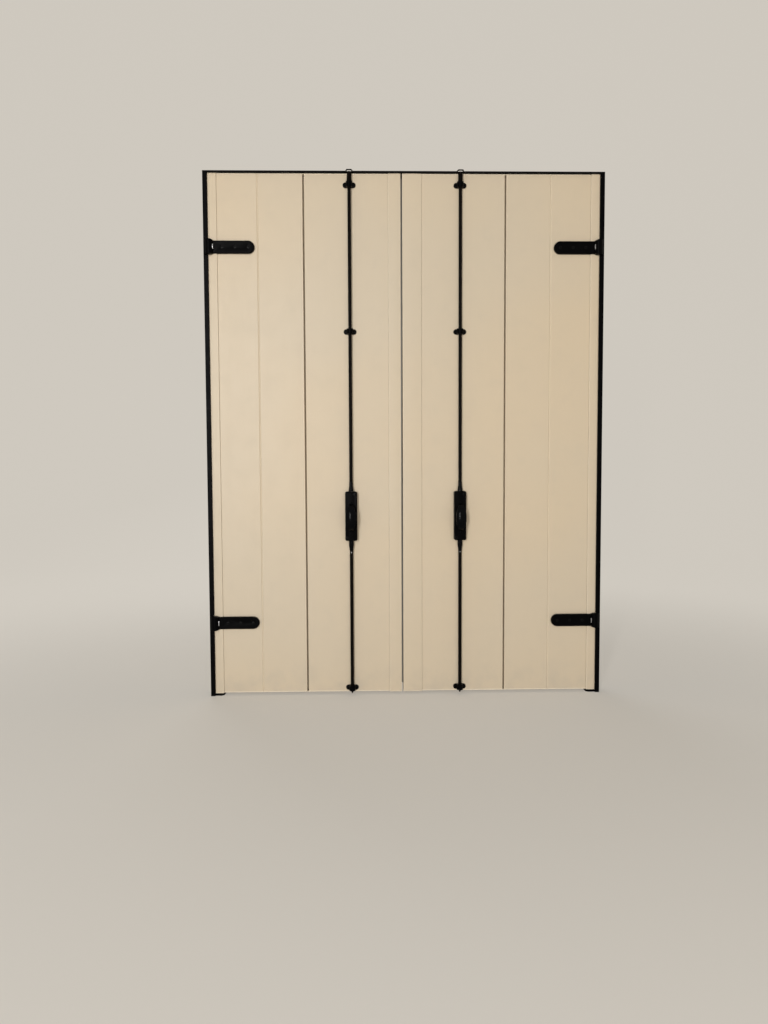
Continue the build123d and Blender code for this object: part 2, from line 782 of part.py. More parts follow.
def settle(name, pieces):
    """Writes one named piece, moved to the exported origin."""
    shape = Compound(pieces) if isinstance(pieces, list) else pieces
    export_step(Pos(0, depth_shift, 0) * shape, f"parts/{name}.step")


def on_side(side, pieces):
    """Moves pieces drawn from the left wall to the left or the right of the opening."""
    shape = Compound(pieces) if isinstance(pieces, list) else pieces
    shape = Pos(-opening_width / 2, 0, 0) * shape
    return shape if side == "left" else mirror(shape, about=Plane.YZ)


def at_lock(side, shape):
    """Moves a piece drawn about the handle's middle to its leaf."""
    return Pos(rod_line[side], 0, lock_z) * shape


def write_frame():
    fasteners = []
    washers = []
    for side in ("left", "right"):
        settle(f"{side}_jamb", on_side(side, make_jamb()))
        settle(f"{side}_jamb_seal", on_side(side, make_jamb_seal()))
        settle(f"{side}_foot", on_side(side, make_foot()))
        settle(f"{side}_keeper", make_keeper(rod_line[side]))
        for end, height in hinge_heights.items():
            settle(f"{side}_{end}_pintle", on_side(side, make_pintle(height)))
            washers.append(on_side(side, make_washer(height)))
        fasteners += [on_side(side, piece) for piece in make_jamb_fasteners()]
    settle("head", make_head())
    settle("head_seal", make_head_seal())
    settle("corner_blocks", [on_side(side, make_corner_block()) for side in ("left", "right")])
    settle("hinge_washers", washers)
    settle("frame_fasteners", fasteners)


def leaf_screw_solids(side, edge_screws):
    """The screws of the straps, the rod guides and the lock housing of one leaf."""
    solids = [on_side(side, make_screw(x, z, -strap_thickness, strap_thickness + board_front + 6))
              for x, z in edge_screws]
    for height in guide_heights:
        for x in (-guide_screw_place, guide_screw_place):
            z = leaf_bottom + height - lock_z
            solids.append(at_lock(side, make_screw(x, z, board_front - guide_base, guide_base + 6)))
    for x, z in lock_screw_places():
        solids.append(at_lock(side, make_screw(x, z, housing_front, board_front - housing_front + 6)))
    return solids


def write_leaf(side, meeting_width):
    meeting_edge = zone_end + meeting_width
    edge_screws = [place for height in hinge_heights.values() for place in strap_screws(height)]
    line = meeting_board_middle
    face_screws = [(line + x, leaf_bottom + height)
                   for height in guide_heights for x in (-guide_screw_place, guide_screw_place)]
    turn = 1 if side == "left" else -1
    face_screws += [(line + turn * x, lock_z + z) for x, z in lock_screw_places()]
    settle(f"{side}_hinge_board", on_side(side, make_board(hinge_board_middle, edge_screws)))
    settle(f"{side}_meeting_board", on_side(side, make_board(line, face_screws)))
    settle(f"{side}_hinge_stile", on_side(side, make_stile(leaf_edge, zone_start)))
    settle(f"{side}_meeting_stile", on_side(side, make_stile(meeting_edge, zone_end)))
    settle(f"{side}_end_closers", on_side(side, make_closers(leaf_edge + stile_wall, meeting_edge - stile_wall)))
    settle(f"{side}_meeting_seal", on_side(side, make_meeting_seal(meeting_edge)))
    for end, height in hinge_heights.items():
        settle(f"{side}_{end}_strap", on_side(side, make_strap(height)))
    guides = [Pos(0, 0, leaf_bottom + height - lock_z) * make_guide() for height in guide_heights]
    settle(f"{side}_rod_guides", [at_lock(side, guide) for guide in guides])
    settle(f"{side}_leaf_screws", leaf_screw_solids(side, edge_screws))


def write_lock(side):
    makers = {
        "lock_housing": make_housing, "lock_back_plate": make_back_plate, "handle": make_handle,
        "pinion": make_pinion, "top_rack": make_upper_rack, "bottom_rack": make_lower_rack,
        "top_ferrule": make_upper_ferrule, "bottom_ferrule": make_lower_ferrule, "top_rod": make_upper_rod,
        "bottom_rod": make_lower_rod, "top_rod_tip": make_rod_tip,
    }
    for name, maker in makers.items():
        settle(f"{side}_{name}", at_lock(side, maker()))


def main():
    os.makedirs("parts", exist_ok=True)
    write_frame()
    for side, meeting_width in (("left", left_meeting_stile_width), ("right", right_meeting_stile_width)):
        write_leaf(side, meeting_width)
        write_lock(side)


main()
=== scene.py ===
"""A closed pair of boarded shutter leaves in a slim black frame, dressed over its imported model.

The leaves are ivory powder-coated aluminium. Their hinges, bolt rods, bow handles and frame are
black. Every piece is built in metres in the model's own frame: X to the right as seen from the
room, Y outdoors and Z up, with the feet at Z = 0.
"""

from __future__ import annotations

import json
import logging
import math
from dataclasses import dataclass, field
from enum import Enum
from typing import Callable, Iterable, Protocol, Sequence

import bmesh
import bpy
from mathutils import Matrix, Vector

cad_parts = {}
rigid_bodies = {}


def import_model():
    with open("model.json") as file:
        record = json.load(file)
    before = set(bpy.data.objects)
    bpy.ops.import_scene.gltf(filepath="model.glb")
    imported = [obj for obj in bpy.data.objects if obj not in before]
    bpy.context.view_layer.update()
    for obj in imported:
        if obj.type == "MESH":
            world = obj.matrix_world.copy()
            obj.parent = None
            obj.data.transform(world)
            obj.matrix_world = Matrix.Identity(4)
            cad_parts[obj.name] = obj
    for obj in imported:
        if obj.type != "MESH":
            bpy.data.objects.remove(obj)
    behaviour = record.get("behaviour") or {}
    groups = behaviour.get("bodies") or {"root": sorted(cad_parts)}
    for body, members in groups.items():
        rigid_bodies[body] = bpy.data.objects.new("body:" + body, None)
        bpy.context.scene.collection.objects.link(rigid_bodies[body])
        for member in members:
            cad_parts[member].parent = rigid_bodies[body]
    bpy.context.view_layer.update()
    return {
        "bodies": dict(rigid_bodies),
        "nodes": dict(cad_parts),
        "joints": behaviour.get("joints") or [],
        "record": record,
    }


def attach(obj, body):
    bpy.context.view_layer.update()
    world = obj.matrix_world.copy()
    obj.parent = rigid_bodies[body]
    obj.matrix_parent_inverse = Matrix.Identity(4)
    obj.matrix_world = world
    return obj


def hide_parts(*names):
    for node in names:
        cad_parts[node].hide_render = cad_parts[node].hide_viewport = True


LOG = logging.getLogger("shutters")
MM = 0.001
SIDES = ("left", "right")

SHARP_ANGLE = 35.0
FLAT_ANGLE = 0.4
WELD_REACH = 0.002 * MM
SAME_POINT = 0.001 * MM
SAME_LENGTH = 0.05 * MM

MIX_FACTOR = 0
MIX_FIRST_COLOUR = 6
MIX_SECOND_COLOUR = 7
MIX_COLOUR_RESULT = 2

Colour = tuple[float, float, float, float]
Triple = tuple[float, float, float]


def written(red: int, green: int, blue: int) -> Colour:
    """Turns a colour as it is written, 0 to 255, into the linear values that a shader takes.

    Args:
        red: Red, 0 to 255.
        green: Green, 0 to 255.
        blue: Blue, 0 to 255.

    Returns:
        The linear colour with an alpha of 1.
    """
    linear = []
    for value in (red, green, blue):
        part = value / 255
        linear.append(part / 12.92 if part <= 0.04045 else ((part + 0.055) / 1.055) ** 2.4)
    return (linear[0], linear[1], linear[2], 1.0)


class Sock:
    """A node's output, with arithmetic that adds the Math nodes it needs."""

    def __init__(self, graph: Graph, socket: bpy.types.NodeSocket) -> None:
        """Keeps the output and the graph it belongs to."""
        self.graph = graph
        self.socket = socket

    def math(self, operation: str, first: Sock | float, second: Sock | float = 0.0) -> Sock:
        """Adds one Math node.

        Args:
            operation: The Math node's operation.
            first: Its first value.
            second: Its second value.

        Returns:
            The node's output.
        """
        return self.graph.node("ShaderNodeMath", {"operation": operation}, {0: first, 1: second})

    def __add__(self, other: Sock | float) -> Sock:
        """Adds a value."""
        return self.math("ADD", self, other)

    def __sub__(self, other: Sock | float) -> Sock:
        """Takes a value away."""
        return self.math("SUBTRACT", self, other)

    def __mul__(self, other: Sock | float) -> Sock:
        """Multiplies by a value."""
        return self.math("MULTIPLY", self, other)

    def __rsub__(self, other: float) -> Sock:
        """Takes this output away from a number."""
        return self.math("SUBTRACT", other, self)

    __radd__ = __add__

    def between(self, low: float, high: float) -> Sock:
        """A smooth mask that is 0 below low and 1 above high.

        Args:
            low: The value where the mask starts.
            high: The value where the mask is full.

        Returns:
            The mask.
        """
        settings = {"interpolation_type": "SMOOTHSTEP"}
        inputs = {"Value": self, "From Min": low, "From Max": high}
        return self.graph.node("ShaderNodeMapRange", settings, inputs)


class Graph:
    """One material's node tree and the few kinds of node that the finishes share."""

    BEVEL_SAMPLES = 4
    BENT = (0.02, 0.3)
    OPENNESS_SAMPLES = 6
    ENCLOSED = (0.35, 0.8)

    def __init__(self, name: str) -> None:
        """Makes an empty material.

        Args:
            name: The material's name.
        """
        self.material = bpy.data.materials.new(name)
        self.material.use_nodes = True
        self.material.node_tree.nodes.clear()
        self.coordinates = self.node("ShaderNodeTexCoord", output="Object")
        self.shader: Sock | None = None

    def node(self, kind: str, settings: dict | None = None, inputs: dict | None = None,
             output: int | str = 0) -> Sock:
        """Adds a node.

        Args:
            kind: The node's type.
            settings: The node's own settings, set first.
            inputs: Values or outputs for its sockets, by name or place.
            output: The socket that is returned, by name or place.

        Returns:
            The chosen output.
        """
        made = self.material.node_tree.nodes.new(kind)
        for name, value in (settings or {}).items():
            setattr(made, name, value)
        for name, value in (inputs or {}).items():
            if isinstance(value, Sock):
                self.material.node_tree.links.new(value.socket, made.inputs[name])
            else:
                made.inputs[name].default_value = value
        return Sock(self, made.outputs[output]) if made.outputs else Sock(self, made.inputs[0])

    def stretched(self, across: float, along: float) -> Sock:
        """Object coordinates scaled for a pattern that runs up the piece.

        Args:
            across: The scale across the piece, in turns per metre.
            along: The scale up the piece.

        Returns:
            The scaled coordinates.
        """
        inputs = {"Vector": self.coordinates, "Scale": (across, across, along)}
        return self.node("ShaderNodeMapping", None, inputs)

    def noise(self, scale: float, detail: float = 2.0, roughness: float = 0.5,
              vector: Sock | None = None) -> Sock:
        """Noise of about 0 to 1.

        Args:
            scale: Turns per unit of the coordinates.
            detail: Octaves.
            roughness: How strong the finer octaves are.
            vector: The coordinates, or none for the piece's own.

        Returns:
            The noise's value.
        """
        inputs = {
            "Vector": vector or self.coordinates,
            "Scale": scale,
            "Detail": detail,
            "Roughness": roughness,
        }
        return self.node("ShaderNodeTexNoise", None, inputs)

    def mix(self, mask: Sock | float, first: Sock | Colour, second: Sock | Colour) -> Sock:
        """Blends two colours.

        Args:
            mask: 0 for the first colour and 1 for the second.
            first: The first colour.
            second: The second colour.

        Returns:
            The blended colour.
        """
        inputs = {MIX_FACTOR: mask, MIX_FIRST_COLOUR: first, MIX_SECOND_COLOUR: second}
        return self.node("ShaderNodeMix", {"data_type": "RGBA"}, inputs, MIX_COLOUR_RESULT)

    def bump(self, height: Sock, depth: float, under: Sock | None = None) -> Sock:
        """A normal from a height.

        Args:
            height: The height, of about 0 to 1.
            depth: What a height of 1 stands for, in metres.
            under: A normal to start from.

        Returns:
            The normal.
        """
        inputs: dict = {"Height": height, "Distance": depth, "Strength": 1.0}
        if under:
            inputs["Normal"] = under
        return self.node("ShaderNodeBump", None, inputs)

    def edge_mask(self, radius: float) -> Sock:
        """A mask of the sharp edges.

        Args:
            radius: How far from an edge the mask reaches, in metres.

        Returns:
            About 1 on an edge and 0 on a flat.
        """
        eased = self.node("ShaderNodeBevel", {"samples": self.BEVEL_SAMPLES}, {"Radius": radius})
        flat = self.node("ShaderNodeNewGeometry", output="Normal")
        product = {"operation": "DOT_PRODUCT"}
        same = self.node("ShaderNodeVectorMath", product, {0: eased, 1: flat}, output="Value")
        return (1.0 - same).between(*self.BENT)

    def crevice_mask(self, reach: float) -> Sock:
        """A mask of the narrow joints, from ambient occlusion, so it marks where shade falls.

        Args:
            reach: How far the walls of a joint may be, in metres.

        Returns:
            About 1 deep in a joint and 0 on a flat.
        """
        settings = {"samples": self.OPENNESS_SAMPLES}
        inputs = {"Distance": reach}
        openness = self.node("ShaderNodeAmbientOcclusion", settings, inputs, output="AO")
        return (1.0 - openness).between(*self.ENCLOSED)

    def surface(self, **sockets: Sock | float | Colour) -> bpy.types.Material:
        """Adds the shader and finishes the material.

        Args:
            **sockets: The shader's sockets, with _ for a space, such as Base_Color.

        Returns:
            The material.
        """
        inputs = {name.replace("_", " "): value for name, value in sockets.items()}
        self.shader = self.node("ShaderNodeBsdfPrincipled", None, inputs)
        return self.finished(self.shader)

    def finished(self, shader: Sock) -> bpy.types.Material:
        """Sends a shader to the material's output.

        Args:
            shader: The shader.

        Returns:
            The material.
        """
        tree = self.material.node_tree
        for old in [node for node in tree.nodes if node.type == "OUTPUT_MATERIAL"]:
            tree.nodes.remove(old)
        self.node("ShaderNodeOutputMaterial", None, {"Surface": shader})
        return self.material


@dataclass(frozen=True)
class IvoryCoat:
    """Satin powder coat on extruded aluminium.

    It has fine orange peel, faint upright die lines and soft drifts of tone, with a painted
    highlight along its edges and painted shade in its joints.
    """

    name: str = "ivory_powder_coat"
    colour: Colour = written(205, 192, 170)
    warm: Colour = written(209, 193, 167)
    dust: Colour = written(180, 172, 158)
    # Painted highlight: a pale colour laid along the edges, as if they caught the light.
    edge: Colour = written(250, 240, 218)
    highlight_reach: float = 2.6 * MM
    # Painted shade: a dark colour laid in the joints where ambient occlusion finds them enclosed.
    painted_joint_shade: Colour = written(66, 54, 43)
    painted_joint_shade_share: float = 0.9
    joint_reach: float = 4.0 * MM
    drift_scale: float = 1.4
    mottle_scale: float = 22.0
    mottle_share: float = 0.10
    low_dust_height: float = 0.10
    low_dust_share: float = 0.35
    peel_scale: float = 620.0
    peel_depth: float = 0.010 * MM
    die_line_scales: tuple[float, float] = (260.0, 1.2)
    die_line_depth: float = 0.004 * MM
    roughness: float = 0.42
    mottle_roughness: float = 0.10
    die_line_roughness: float = 0.12
    gloss: float = 0.45

    def material(self) -> bpy.types.Material:
        """Builds the material.

        Returns:
            The material.
        """
        graph = Graph(self.name)
        drift = graph.noise(self.drift_scale)
        mottle = graph.noise(self.mottle_scale, 4.0, 0.6)
        die_lines = graph.noise(1.0, 3.0, 0.6, graph.stretched(*self.die_line_scales))
        peel = graph.noise(self.peel_scale)
        split = graph.node("ShaderNodeSeparateXYZ", None, {"Vector": graph.coordinates}, output="Z")
        low = (1.0 - split.between(0.0, self.low_dust_height)) * mottle.between(0.3, 0.7)
        tone = graph.mix(drift.between(0.35, 0.65), self.colour, self.warm)
        tone = graph.mix(mottle.between(0.45, 0.8) * self.mottle_share, tone, self.dust)
        tone = graph.mix(low * self.low_dust_share, tone, self.dust)
        # Painted highlight along the edges.
        tone = graph.mix(graph.edge_mask(self.highlight_reach), tone, self.edge)
        # Painted shade in the joints, from ambient occlusion.
        tone = graph.mix(graph.crevice_mask(self.joint_reach) * self.painted_joint_shade_share, tone, self.painted_joint_shade)
        normal = graph.bump(peel, self.peel_depth)
        normal = graph.bump(die_lines, self.die_line_depth, normal)
        rough = self.roughness + (mottle - 0.5) * self.mottle_roughness
        rough = rough + (die_lines - 0.5) * self.die_line_roughness
        return graph.surface(
            Base_Color=tone, Roughness=rough, Normal=normal, Specular_IOR_Level=self.gloss)


@dataclass(frozen=True)
class BlackCoat:
    """Black coating on metal, from a fine-grained casting to a smooth profile."""

    name: str
    colour: Colour = written(4, 4, 5)
    worn: Colour = written(32, 31, 30)
    wear: float = 0.5
    worn_edge: float = 0.5 * MM
    dust: Colour = written(32, 31, 29)
    dust_share: float = 0.14
    patch_scale: float = 45.0
    scuff_scales: tuple[float, float] = (900.0, 60.0)
    grain_scale: float = 1500.0
    grain_depth: float = 0.02 * MM
    roughness: float = 0.36
    patch_roughness: float = 0.22
    dust_roughness: float = 0.12
    gloss: float = 0.03

    def material(self) -> bpy.types.Material:
        """Builds the material.

        Returns:
            The material.
        """
        graph = Graph(self.name)
        grain = graph.noise(self.grain_scale, 3.0, 0.6)
        patches = graph.noise(self.patch_scale, 4.0, 0.65)
        scuffs = graph.noise(1.0, 2.0, 0.5, graph.stretched(*self.scuff_scales))
        edge = graph.edge_mask(self.worn_edge) * patches.between(0.42, 0.62)
        settled = patches.between(0.5, 0.75) * scuffs.between(0.4, 0.8)
        tone = graph.mix(edge * self.wear, self.colour, self.worn)
        tone = graph.mix(settled * self.dust_share, tone, self.dust)
        rough = self.roughness + (patches - 0.5) * self.patch_roughness
        rough = rough + settled * self.dust_roughness
        normal = graph.bump(grain, self.grain_depth)
        return graph.surface(
            Base_Color=tone, Roughness=rough, Normal=normal, Specular_IOR_Level=self.gloss)


@dataclass(frozen=True)
class SealRubber:
    """Matt black rubber with a bloom of dust along the lip."""

    name: str = "seal_rubber"
    colour: Colour = written(8, 8, 8)
    bloom: Colour = written(38, 37, 35)
    bloom_share: float = 0.35
    cloud_scale: float = 70.0
    grain_scale: float = 2200.0
    grain_depth: float = 0.015 * MM
    roughness: float = 0.72
    cloud_roughness: float = 0.2
    gloss: float = 0.1

    def material(self) -> bpy.types.Material:
        """Builds the material.

        Returns:
            The material.
        """
        graph = Graph(self.name)
        grain = graph.noise(self.grain_scale)
        cloud = graph.noise(self.cloud_scale, 3.0, 0.6)
        tone = graph.mix(cloud.between(0.45, 0.8) * self.bloom_share, self.colour, self.bloom)
        rough = self.roughness + (cloud - 0.5) * self.cloud_roughness
        normal = graph.bump(grain, self.grain_depth)
        return graph.surface(
            Base_Color=tone, Roughness=rough, Normal=normal, Specular_IOR_Level=self.gloss)


@dataclass(frozen=True)
class TurnedSteel:
    """Plain machined steel with fine turning marks and a film of grease."""

    name: str = "machined_steel"
    colour: Colour = written(168, 168, 170)
    grease: Colour = written(96, 88, 74)
    grease_share: float = 0.5
    film_scale: float = 120.0
    mark_scales: tuple[float, float] = (150.0, 5200.0)
    mark_depth: float = 0.006 * MM
    roughness: float = 0.34
    mark_roughness: float = 0.2
    film_roughness: float = 0.15

    def material(self) -> bpy.types.Material:
        """Builds the material.

        Returns:
            The material.
        """
        graph = Graph(self.name)
        marks = graph.noise(1.0, 3.0, 0.6, graph.stretched(*self.mark_scales))
        film = graph.noise(self.film_scale, 3.0, 0.6).between(0.5, 0.8)
        tone = graph.mix(film * self.grease_share, self.colour, self.grease)
        rough = self.roughness + (marks - 0.5) * self.mark_roughness + film * self.film_roughness
        normal = graph.bump(marks, self.mark_depth)
        return graph.surface(Base_Color=tone, Roughness=rough, Metallic=1.0, Normal=normal)


@dataclass(frozen=True)
class StudioPaint:
    """Plain pale paint for the floor and the backdrop.

    Away from the object it glows as evenly as a painted backdrop, to the camera and in reflections.
    """

    name: str = "studio_paint"
    colour: Colour = written(228, 223, 214)
    far_colour: Colour = written(210, 204, 194)
    near_share: float = 0.42
    far_share: float = 0.92
    near_reach: float = 0.5
    far_reach: float = 2.2
    cloud_scale: float = 3.0
    roughness: float = 0.75
    cloud_roughness: float = 0.1
    gloss: float = 0.2

    def material(self) -> bpy.types.Material:
        """Builds the material.

        Returns:
            The material.
        """
        graph = Graph(self.name)
        cloud = graph.noise(self.cloud_scale, 3.0)
        rough = self.roughness + (cloud - 0.5) * self.cloud_roughness
        graph.surface(Base_Color=self.colour, Roughness=rough, Specular_IOR_Level=self.gloss)
        length = {"operation": "LENGTH"}
        away = graph.node("ShaderNodeVectorMath", length, {0: graph.coordinates}, output="Value")
        seen = graph.node("ShaderNodeLightPath", output="Is Camera Ray")
        for ray in ("Is Glossy Ray", "Is Transmission Ray"):
            seen = seen.math("MAXIMUM", seen, graph.node("ShaderNodeLightPath", output=ray))
        glow = graph.node("ShaderNodeEmission", None, {"Color": self.far_colour, "Strength": 1.0})
        rise = away.between(self.near_reach, self.far_reach) * (self.far_share - self.near_share)
        inputs = {0: (self.near_share + rise) * seen, 1: graph.shader, 2: glow}
        return graph.finished(graph.node("ShaderNodeMixShader", None, inputs))


class Finish(Enum):
    """The finishes of the shutters and the studio."""

    IVORY = IvoryCoat()
    # The stiles' coat, with a brighter and wider painted highlight along its edges.
    STILE = IvoryCoat("ivory_stile_coat", edge=written(255, 248, 230), highlight_reach=4.0 * MM)
    PROFILE = BlackCoat(
        "black_profile_coat", roughness=0.38, grain_scale=700.0, grain_depth=0.008 * MM, wear=0.25)
    CASTING = BlackCoat("black_casting_coat", roughness=0.34)
    BOW = BlackCoat(
        "black_bow_lacquer", written(3, 4, 6), roughness=0.2, gloss=0.07, grain_depth=0.003 * MM,
        wear=0.1)
    ROD = BlackCoat(
        "black_rod_coat", written(13, 10, 8), roughness=0.3, grain_depth=0.006 * MM, wear=0.35)
    SCREW = BlackCoat(
        "black_screw_plating", written(9, 9, 10), roughness=0.32, gloss=0.1, grain_depth=0.004 * MM)
    RUBBER = SealRubber()
    STEEL = TurnedSteel()
    NYLON = BlackCoat("black_nylon", written(22, 22, 23), roughness=0.55, wear=0.0)
    STUDIO = StudioPaint()


class FinishBook:
    """Makes each finish's material once and puts it on pieces."""

    def __init__(self) -> None:
        """Starts with no materials."""
        self.made: dict[Finish, bpy.types.Material] = {}

    def material(self, finish: Finish) -> bpy.types.Material:
        """The finish's material, made when it is first asked for.

        Args:
            finish: The finish.

        Returns:
            Its material.
        """
        if finish not in self.made:
            self.made[finish] = finish.value.material()
        return self.made[finish]

    def coat(self, piece: bpy.types.Object, finish: Finish) -> None:
        """Gives a piece one finish all over.

        Args:
            piece: The piece or the model's own node.
            finish: Its finish.
        """
        piece.data.materials.clear()
        piece.data.materials.append(self.material(finish))
        for slot in piece.material_slots:
            slot.link = "DATA"


def piece_from(shape: bmesh.types.BMesh, name: str,
               sharp_angle: float = SHARP_ANGLE) -> bpy.types.Object:
    """Makes an object of a finished shape, smooth except at its sharp edges.

    Args:
        shape: The shape, which is freed.
        name: The piece's name.
        sharp_angle: The angle in degrees above which an edge stays sharp.

    Returns:
        The object, at the origin.
    """
    mesh = bpy.data.meshes.new(name)
    for face in shape.faces:
        face.smooth = True
    shape.to_mesh(mesh)
    shape.free()
    mesh.set_sharp_from_angle(angle=math.radians(sharp_angle))
    piece = bpy.data.objects.new(name, mesh)
    bpy.context.scene.collection.objects.link(piece)
    return piece


def round_edges(piece: bpy.types.Object, width: float, segments: int, angle: float,
                harden: bool = False) -> None:
    """Rounds a piece's sharp edges.

    Args:
        piece: The piece.
        width: The rounding's width in metres.
        segments: Faces across a rounded edge.
        angle: The angle in degrees above which an edge is rounded.
        harden: Whether the flats beside a rounded edge keep their own normals.
    """
    rounding = piece.modifiers.new("rounded_edges", "BEVEL")
    rounding.width = width
    rounding.segments = segments
    rounding.limit_method = "ANGLE"
    rounding.angle_limit = math.radians(angle)
    rounding.harden_normals = harden


def ring(shape: bmesh.types.BMesh, radius: float, height: float,
         corners: int) -> list[bmesh.types.BMEdge]:
    """Adds a level ring of edges.

    Args:
        shape: The shape that takes the ring.
        radius: The ring's radius in metres.
        height: Its height.
        corners: How many edges it has.

    Returns:
        The ring's edges.
    """
    place = Matrix.Translation((0, 0, height))
    made = bmesh.ops.create_circle(
        shape, cap_ends=False, radius=radius, segments=corners, matrix=place)
    return list({edge for vert in made["verts"] for edge in vert.link_edges})


def turned(shape: bmesh.types.BMesh, rings: Sequence[tuple[float, float, int]],
           place: Matrix) -> None:
    """Adds a closed turned piece: rings of edges joined in order, with a face over each end.

    Args:
        shape: The shape that takes the piece.
        rings: Radius, height and number of corners of each ring, from the lowest up.
        place: Where the piece goes.
    """
    before = set(shape.verts)
    loops = [ring(shape, *size) for size in rings]
    for lower, upper in zip(loops, loops[1:]):
        bmesh.ops.bridge_loops(shape, edges=lower + upper)
    for end in (loops[0], loops[-1]):
        bmesh.ops.contextual_create(shape, geom=end)
    added = [vert for vert in shape.verts if vert not in before]
    bmesh.ops.transform(shape, matrix=place, verts=added)
    faces = list({face for vert in added for face in vert.link_faces})
    bmesh.ops.recalc_face_normals(shape, faces=faces)


def corners_of(points: Sequence[Vector]) -> tuple[Vector, Vector]:
    """The box round some points.

    Args:
        points: The points.

    Returns:
        The box's lowest and highest corner.
    """
    low = Vector([min(point[axis] for point in points) for axis in range(3)])
    high = Vector([max(point[axis] for point in points) for axis in range(3)])
    return low, high


def solids_of(node: bpy.types.Object) -> list[tuple[Vector, Vector]]:
    """The lowest and highest corners of each separate solid of a node.

    Args:
        node: The model's node.

    Returns:
        One pair of corners for each solid.
    """
    shape = bmesh.new()
    shape.from_mesh(node.data)
    bmesh.ops.remove_doubles(shape, verts=shape.verts, dist=SAME_POINT)
    left = set(shape.verts)
    found = []
    while left:
        queue = [left.pop()]
        members = []
        while queue:
            vert = queue.pop()
            members.append(vert.co.copy())
            near = {edge.other_vert(vert) for edge in vert.link_edges} & left
            left -= near
            queue.extend(near)
        found.append(corners_of(members))
    shape.free()
    return found


class Workshop:
    """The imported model, the finishes and the steps that every sub-assembly shares."""

    def __init__(self, frame: dict) -> None:
        """Keeps the loaded model.
        """
        self.nodes: dict[str, bpy.types.Object] = frame["nodes"]
        self.finishes = FinishBook()
        groups = frame["record"]["behaviour"]["bodies"]
        self.body_of = {node: body for body, members in groups.items() for node in members}
        self.slot_of = {row["node"]: row["material_slot"] for row in frame["record"]["subparts"]}

    def coat(self, nodes: Iterable[str], finish: Finish) -> None:
        """Gives the model's own nodes a finish.

        Args:
            nodes: The nodes' names.
            finish: Their finish.
        """
        for name in nodes:
            self.finishes.coat(self.nodes[name], finish)
            LOG.info("coated %s", name)

    def fit(self, piece: bpy.types.Object, finish: Finish, *nodes: str) -> bpy.types.Object:
        """Finishes a new piece that stands for nodes of the model and rides with them.

        Args:
            piece: The piece.
            finish: Its finish.
            *nodes: The nodes that it replaces, all of one body.

        Returns:
            The piece.
        """
        self.finishes.coat(piece, finish)
        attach(piece, self.body_of[nodes[0]])
        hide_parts(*nodes)
        LOG.info("built %s", piece.name)
        return piece

    def add(self, piece: bpy.types.Object, finish: Finish, node: str) -> bpy.types.Object:
        """Finishes a small new piece that the model doesn't have and that rides with a node.

        Args:
            piece: The piece.
            finish: Its finish.
            node: The node that it rides with.

        Returns:
            The piece.
        """
        self.finishes.coat(piece, finish)
        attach(piece, self.body_of[node])
        LOG.info("added %s", piece.name)
        return piece

    def box(self, node: str) -> tuple[Vector, Vector]:
        """The lowest and highest corner of a node.

        Args:
            node: The node's name.

        Returns:
            Both corners.
        """
        return corners_of([vert.co for vert in self.nodes[node].data.vertices])

    def eased(self, node: str, name: str, edge: float, segments: int = 2,
              sharp_angle: float = SHARP_ANGLE) -> bpy.types.Object:
        """A copy of a node with smooth curves and rounded edges.

        Args:
            node: The node to copy.
            name: The new piece's name.
            edge: The radius of the rounded edges, in metres.
            segments: Faces across a rounded edge.
            sharp_angle: The angle in degrees above which an edge stays sharp.

        Returns:
            The piece.
        """
        shape = bmesh.new()
        shape.from_mesh(self.nodes[node].data)
        bmesh.ops.remove_doubles(shape, verts=shape.verts, dist=WELD_REACH)
        bmesh.ops.dissolve_limit(
            shape, angle_limit=math.radians(FLAT_ANGLE), verts=shape.verts, edges=shape.edges)
        piece = piece_from(shape, name, sharp_angle)
        round_edges(piece, edge, segments, SHARP_ANGLE, harden=True)
        return piece


class Assembly(Protocol):
    """A part of the picture that builds itself."""

    def build(self) -> None:
        """Builds it."""


@dataclass
class Leaves:
    """The boards, stiles, closing strips and rubber lips of both leaves."""

    shop: Workshop
    profile_edge: float = 0.5 * MM
    groove_angle: float = 8.0

    def build(self) -> None:
        """Dresses both leaves."""
        for side in SIDES:
            for part, finish in (("board", Finish.IVORY), ("stile", Finish.STILE)):
                for edge in ("hinge", "meeting"):
                    name = f"{side}_{edge}_{part}"
                    profile = self.shop.eased(
                        name, f"{name}_profile", self.profile_edge, sharp_angle=self.groove_angle)
                    self.shop.fit(profile, finish, name)
            self.shop.coat([f"{side}_end_closers"], Finish.IVORY)
            self.shop.coat([f"{side}_meeting_seal"], Finish.RUBBER)


@dataclass
class EdgeFrame:
    """The black profiles round the leaves, with their feet, seals, keepers and hinge pins."""

    shop: Workshop
    profile_edge: float = 0.3 * MM
    bracket_edge: float = 0.5 * MM
    brackets: tuple[str, ...] = ("foot", "keeper", "top_pintle", "bottom_pintle")

    def build(self) -> None:
        """Dresses the frame."""
        for node in ("left_jamb", "right_jamb", "head"):
            profile = self.shop.eased(node, f"{node}_profile", self.profile_edge)
            self.shop.fit(profile, Finish.PROFILE, node)
        for side in SIDES:
            for part in self.brackets:
                node = f"{side}_{part}"
                bracket = self.shop.eased(node, f"{node}_bracket", self.bracket_edge)
                self.shop.fit(bracket, Finish.CASTING, node)
        self.shop.coat(["left_jamb_seal", "right_jamb_seal", "head_seal"], Finish.RUBBER)
        self.shop.coat(["corner_blocks"], Finish.PROFILE)
        self.shop.coat(["hinge_washers"], Finish.NYLON)


